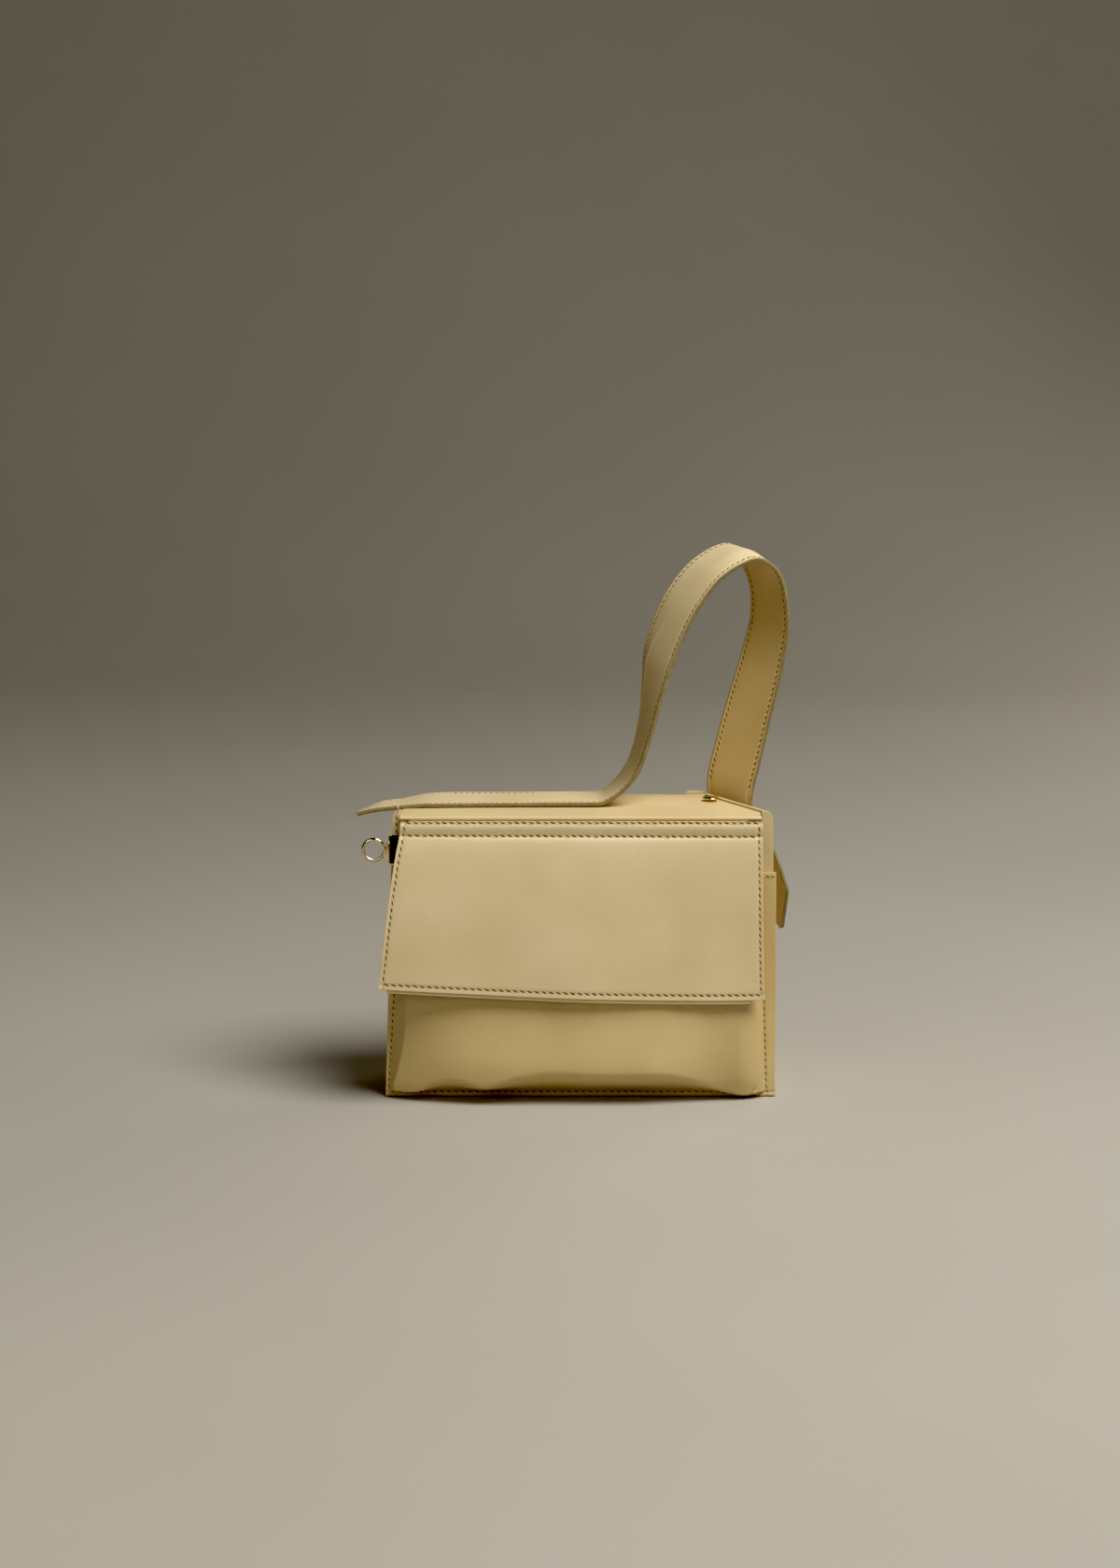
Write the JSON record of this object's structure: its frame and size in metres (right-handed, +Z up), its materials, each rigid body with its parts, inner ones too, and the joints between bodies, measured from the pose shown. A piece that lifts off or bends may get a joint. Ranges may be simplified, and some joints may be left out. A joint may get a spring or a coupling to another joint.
{
  "type": "handbag",
  "caption": "Small leather handbag with a tapered body, a puffed front pocket under a stitched flap, a strap that stands up as a hand loop, and gold hardware.",
  "frame": {"origin": "middle of the base, on the surface that the bag stands on", "axes": "+X to the right of someone who faces the flap, +Y from the front to the back, +Z up"},
  "size_m": [0.2165, 0.0857, 0.2694],
  "materials": {
    "leather": "smooth satin pale yellow leather with a fine grain and thread of the same colour",
    "gold": "polished pale gold plating"
  },
  "bodies": {
    "root": {"front_panel": "leather", "back_panel": "leather", "left_gusset": "leather", "right_gusset": "leather", "base_panel": "leather", "lid": "leather", "front_pocket": "leather", "front_flap": "leather", "strap": "leather", "strap_anchor": "leather", "rivet": "gold", "edge_clip": "gold"}
  },
  "joints": []
}
